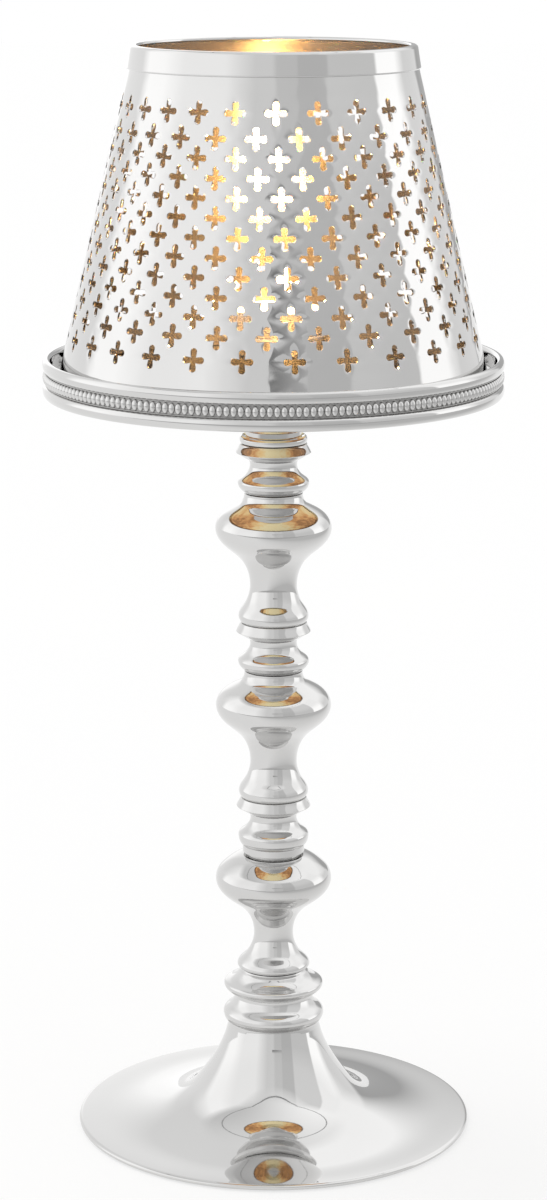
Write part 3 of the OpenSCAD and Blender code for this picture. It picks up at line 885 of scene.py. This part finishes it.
def make_wick(mat):
    """The braided wick, which leans over at its charred tip."""
    (x, _, bottom), (_, _, top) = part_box("tealight_wick")
    t = np.linspace(0, 1, 40)
    bend = np.clip((t - WICK_BENDS_FROM) / (1 - WICK_BENDS_FROM), 0, 1)
    lean = WICK_LEAN * bend ** BEND_SHARPNESS
    centres = np.stack([lean, 0 * t, bottom + (top - bottom) * t], axis=-1)
    strand = -x * (STRAND_SHARE + BRAID_SHARE * np.sin(t * BRAID_TURN))
    tip, foot = (np.clip(way, 0, 1) ** 0.5 for way in ((1 - t) * TIP_STEEPNESS, t * FOOT_STEEPNESS))
    wick = tube("wick_burning", centres, strand * tip * foot, mat)
    dress(wick, "tealight", "wick_cotton", "tealight_wick")


def make_candle_light(flame, tip):
    """The light that the flame throws, from its tip."""
    data = bpy.data.lights.new("candle_light", "POINT")
    data.energy = CANDLE_WATTS
    data.color = CANDLE_COLOUR
    data.shadow_soft_size = FLAME_R
    light = bpy.data.objects.new("candle_light", data)
    light.location = (FLAME_LEAN, 0, tip)
    light.parent = flame
    bpy.context.scene.collection.objects.link(light)


def make_flame():
    """A flame that is fullest low down, drawn out to its tip and blown to one side."""
    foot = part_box("tealight_wick")[1][2] + FLAME_OVER_WICK
    tip = foot + FLAME_H
    t = np.linspace(0, 1, 33)
    height = foot + FLAME_H * t
    swell = np.sin(pi * t ** FULLEST_LOW) ** BLUNTNESS * (1 - TAPER * t)
    lean = FLAME_LEAN * (FOOT_LEAN + (1 - FOOT_LEAN) * t)
    flame = tube("tealight_flame", np.stack([lean, 0 * t, height], axis=-1), FLAME_R * swell,
                 flame_fire(foot, tip), 24)
    flame.visible_shadow = False
    make_candle_light(flame, tip)
    dress(flame, "tealight", None)


# The studio: a pale floor and an even white surround, with the screens and softboxes that the
# metal mirrors. Each screen runs between two angles, in degrees round the lamp from the camera
# to the right, and has its brightness. Heights are the z of a direction of length 1

FLOOR_RINGS = (0, 0.5, 1.5, 4, 8)
FLOOR_SIDES = 64
WHITE = 0.93
FLOOR_GLOW = 0.62
FLOOR_SLANT = -0.75
FLOOR_GRADE = (0.05, 0.7)
FLOOR_FAR_LEFT = 1.06
FLOOR_NEAR_RIGHT = 0.48
FLOOR_IN_FRONT = 0.25
FLOOR_DIMS_FROM, FLOOR_DIMS_TO = 1.0, 1.8
ROOM_LIGHT = 0.82
KEY_STRENGTH = 0.9
KEY_SOFTNESS = radians(50)
KEY_TURN = (radians(-18), radians(-24), 0)
BRIGHTEST = 1.6
LOW_SCREENS = {
    "white screen behind": (-180, -164, 1.34),
    "back left wall": (-156, -124, 1.05),
    "left softbox": (-114, -95, 1.46),
    "left wall": (-74, -38, 1.26),
    "beside the camera": (-14, -1, 0.90),
    "front screen": (3, 18, 0.74),
    "grey screen": (19.5, 42, 0.66),
    "right screen": (44, 86, 0.80),
    "right softbox": (88.5, 110, 1.52),
    "back right wall": (122, 146, 0.96),
    "dark doorway": (151, 179.5, 0.50)}
HIGH_SCREENS = {
    "back wall": (-180, -140, 0.98),
    "left softbox": (-114, -95, 1.36),
    "left wall": (-74, -38, 1.22),
    "beside the camera": (-14, 0, 0.90),
    "front screen": (4, 18, 0.80),
    "grey screen": (19.5, 42, 0.72),
    "right screen": (44, 86, 0.93),
    "right softbox": (88, 114, 1.28),
    "back right wall": (120, 165, 1.32)}
LOW_TOP, HIGH_FOOT = 0.22, 0.50
WALL_TOP, CEILING_FOOT = 0.72, 0.80
CEILING_SPAN = (-0.5, 0.6)
CEILING_LEFT, CEILING_RIGHT = 0.80, 1.35
FLAG_SIDES = (-3, 19)
FLAG_HEIGHTS = (0.293, 0.305, 0.355)
FLAG_LEVELS = (0.24, 0.58)
HOOD_RIM = 0.3
HOOD_CENTRE = (0.02, -0.13, 1)
HOOD_R, HOOD_RIM_R = 0.68, 0.695
LOWEST_RISE = 0.01


def blend(tree, share, first, second):
    """A colour that runs from the first to the second input by the share."""
    node = add_node(tree, "ShaderNodeMix", data_type="RGBA")
    tree.links.new(share, node.inputs["Factor"])
    for socket, value in zip((node.inputs["A"], node.inputs["B"]), (first, second)):
        if isinstance(value, (int, float)):
            socket.default_value = (value, value, value, 1)
        else:
            tree.links.new(value, socket)
    return node.outputs["Result"]


def switch(tree, share, first, second):
    """A shader that runs from the first to the second by the share."""
    node = add_node(tree, "ShaderNodeMixShader")
    for socket, value in zip(node.inputs, (share, first, second)):
        tree.links.new(value, socket)
    return node.outputs["Shader"]


def mirrored_floor(tree):
    """The floor's brightness in the metal: palest far left, grey near right, dim in front."""
    x, y, _ = axes(tree)
    nearer_right = add_math(tree, "ADD", x, add_math(tree, "MULTIPLY", y, FLOOR_SLANT))
    slanted = spread(tree, nearer_right, FLOOR_FAR_LEFT, FLOOR_NEAR_RIGHT, *FLOOR_GRADE)
    in_front = spread(tree, y, 0, 1, -FLOOR_DIMS_FROM, -FLOOR_DIMS_TO)
    return blend(tree, in_front, slanted, FLOOR_IN_FRONT)


def studio_floor():
    """Matt white, which partly glows where the camera or the metal sees it."""
    mat = bpy.data.materials.new("studio_floor")
    mat.use_nodes = True
    tree = mat.node_tree
    tree.nodes.clear()
    diffuse = add_node(tree, "ShaderNodeBsdfDiffuse")
    colour = ramp(tree, noise(tree, 3, 2),
                  [(0.3, (WHITE, WHITE, WHITE)), (0.7, (WHITE, WHITE, WHITE * 0.995))])
    tree.links.new(colour, diffuse.inputs["Color"])
    path = add_node(tree, "ShaderNodeLightPath")
    glow = add_node(tree, "ShaderNodeEmission")
    level = blend(tree, path.outputs["Is Glossy Ray"], 1.0, mirrored_floor(tree))
    tree.links.new(level, glow.inputs["Color"])
    seen = add_math(tree, "MAXIMUM", path.outputs["Is Camera Ray"], path.outputs["Is Glossy Ray"])
    share = add_math(tree, "MULTIPLY", seen, FLOOR_GLOW)
    output = add_node(tree, "ShaderNodeOutputMaterial")
    tree.links.new(switch(tree, share, diffuse.outputs["BSDF"], glow.outputs["Emission"]),
                   output.inputs["Surface"])
    return mat


def make_floor():
    """A wide round floor under the lamp."""
    turn = np.arange(FLOOR_SIDES) * tau / FLOOR_SIDES
    radii = np.array(FLOOR_RINGS)[:, None]
    verts = np.stack([radii * np.cos(turn), radii * np.sin(turn), 0 * radii + 0 * turn], -1)
    faces = grid_faces(len(radii), FLOOR_SIDES)
    up = np.broadcast_to((0.0, 0.0, 1.0), (verts.size // 3, 3))
    make_piece("floor", verts.reshape(-1, 3), faces, up, [studio_floor()])


def screens(tree, around, panels):
    """The brightness round the room, steady across each panel and running on between them."""
    stops = [((degrees + 180) / 360, (level / BRIGHTEST,) * 3)
             for start, end, level in panels.values() for degrees in (start, end)]
    return ramp(tree, around, stops)


def grade(tree, share, first, second):
    """A brightness that runs from the first to the second by the share."""
    return ramp(tree, share, [(0, (first / BRIGHTEST,) * 3), (1, (second / BRIGHTEST,) * 3)])


def hang_flag(tree, room, angle, z):
    """The room with a grey flag over the camera, whose top edge is soft."""
    left, right = map(radians, FLAG_SIDES)
    foot, top, end = FLAG_HEIGHTS
    beside = add_math(tree, "COMPARE", angle, (left + right) / 2, (right - left) / 2)
    upright = add_math(tree, "MULTIPLY", add_math(tree, "GREATER_THAN", z, foot),
                       spread(tree, z, 1, 0, top, end))
    colour = grade(tree, spread(tree, angle, 0, 1, left, right), *FLAG_LEVELS)
    return blend(tree, add_math(tree, "MULTIPLY", beside, upright), room, colour)


def hood_rim(tree, z):
    """1 where a direction meets the rim of a round hood, on a plane overhead at height 1."""
    direction = add_node(tree, "ShaderNodeTexCoord").outputs["Generated"]
    rise = add_node(tree, "ShaderNodeCombineXYZ")
    for axis in "XYZ":
        tree.links.new(add_math(tree, "MAXIMUM", z, LOWEST_RISE), rise.inputs[axis])
    overhead = add_node(tree, "ShaderNodeVectorMath", operation="DIVIDE")
    tree.links.new(direction, overhead.inputs[0])
    tree.links.new(rise.outputs["Vector"], overhead.inputs[1])
    away = add_node(tree, "ShaderNodeVectorMath", operation="DISTANCE")
    tree.links.new(overhead.outputs["Vector"], away.inputs[0])
    away.inputs[1].default_value = HOOD_CENTRE
    from_centre = away.outputs["Value"]
    return add_math(tree, "MULTIPLY", add_math(tree, "GREATER_THAN", from_centre, HOOD_R),
                    add_math(tree, "LESS_THAN", from_centre, HOOD_RIM_R))


def mirrored_room(tree):
    """What the metal mirrors: low and high screens round it, a ceiling, a flag and a hood."""
    x, y, z = axes(tree, "Generated")
    angle = add_math(tree, "ARCTAN2", x, add_math(tree, "MULTIPLY", y, -1.0))
    around = spread(tree, angle, 0, 1, -pi, pi)
    walls = blend(tree, spread(tree, z, 0, 1, LOW_TOP, HIGH_FOOT),
                  screens(tree, around, LOW_SCREENS), screens(tree, around, HIGH_SCREENS))
    ceiling = grade(tree, spread(tree, x, 0, 1, *CEILING_SPAN), CEILING_LEFT, CEILING_RIGHT)
    room = blend(tree, spread(tree, z, 0, 1, WALL_TOP, CEILING_FOOT), walls, ceiling)
    room = hang_flag(tree, room, angle, z)
    return blend(tree, hood_rim(tree, z), room, HOOD_RIM / BRIGHTEST)


def make_world():
    """White where the camera sees it, the studio where the metal does, even light elsewhere."""
    world = bpy.data.worlds.new("studio")
    bpy.context.scene.world = world
    world.use_nodes = True
    tree = world.node_tree
    tree.nodes.clear()
    mirrored, plain, white = (
        add_node(tree, "ShaderNodeBackground", Strength=strength, Color=(1, 1, 1, 1))
        for strength in (BRIGHTEST, ROOM_LIGHT, 1.0))
    tree.links.new(mirrored_room(tree), mirrored.inputs["Color"])
    path = add_node(tree, "ShaderNodeLightPath")
    by_gloss = switch(tree, path.outputs["Is Glossy Ray"], plain.outputs["Background"],
                      mirrored.outputs["Background"])
    direct = add_math(tree, "MAXIMUM", path.outputs["Is Camera Ray"],
                      path.outputs["Is Transmission Ray"])
    output = add_node(tree, "ShaderNodeOutputWorld")
    tree.links.new(switch(tree, direct, by_gloss, white.outputs["Background"]),
                   output.inputs["Surface"])


def make_key():
    """A soft sun from above, which the metal doesn't mirror."""
    data = bpy.data.lights.new("soft_key", "SUN")
    data.energy = KEY_STRENGTH
    data.angle = KEY_SOFTNESS
    key = bpy.data.objects.new("soft_key", data)
    key.rotation_euler = KEY_TURN
    key.visible_glossy = False
    bpy.context.scene.collection.objects.link(key)


# The whole scene

FINE, FINEST = 128, 192
TURNED = {
    "foot": ("foot_spun", FINEST),
    "foot_collar": ("foot_collar_turned", FINE),
    "lower_baluster": ("lower_ball", FINE),
    "lower_reel": ("lower_reel_turned", FINE),
    "middle_baluster": ("middle_ball", FINE),
    "middle_reel": ("middle_reel_turned", FINE),
    "upper_baluster": ("upper_ball", FINE),
    "upper_reel": ("upper_reel_turned", FINE),
    "tray_boss": ("tray_boss_turned", FINE),
    "tray_pan": ("tray_spun", FINEST),
    "tray_moulding": ("moulding_spun", FINEST),
    "candle_cup": ("cup_turned", 96)}
STEEL_NODES = ("base_plate", "foot_washer", "foot_nut", "tie_rod", "tray_washer", "tray_nut",
               "wick_tab")


def make_turned_pieces(metal, brass, can):
    for node, (name, segments) in TURNED.items():
        turned_piece(node, name, metal, "stand", "polished_nickel", segments)
    turned_piece("tray_underplate", "underplate_spun", brass, "stand", "brass_plate", FINE)
    turned_piece("tealight_can", "can_pressed", can, "tealight", "aluminium_can", 96)


def dress_cad_nodes():
    """Gives the hidden pieces, which keep their CAD meshes, materials of their own."""
    for mat, nodes in ((zinc_steel(), STEEL_NODES), (cast_iron(), ("base_weight",)),
                       (felt(), ("felt_pad",))):
        for node in nodes:
            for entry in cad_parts[node].material_slots:
                entry.material = mat


def main():
    make_camera()
    bpy.context.scene.view_settings.view_transform = "Standard"
    metal = polished_metal("polished_nickel", NICKEL)
    sheet_metal = polished_metal("polished_sheet", SHEET_NICKEL, wave=0.15 * MM, wave_scale=95)
    # The lining is a darker, warmer copy of the nickel: painted shade inside the shade
    lining = brushed(polished_metal("warm_lining_painted_shade", WARM_LINING_PAINTED_SHADE, (0.19, 0.23), 0.08 * MM))
    # The recess behind the beads is a darker copy of the nickel: painted shade
    recess = polished_metal("bead_gap_painted_shade", BEAD_GAP_PAINTED_SHADE, (0.08, 0.14))
    make_turned_pieces(metal, brass_painted_sheen(), pressed_aluminium())
    make_neck_ring(metal)
    make_shade_collar(metal)
    make_shade(sheet_metal, lining)
    make_beads(metal, recess)
    make_wax(candle_wax())
    make_wick(charred_wick())
    make_flame()
    dress_cad_nodes()
    make_floor()
    make_world()
    make_key()


main()
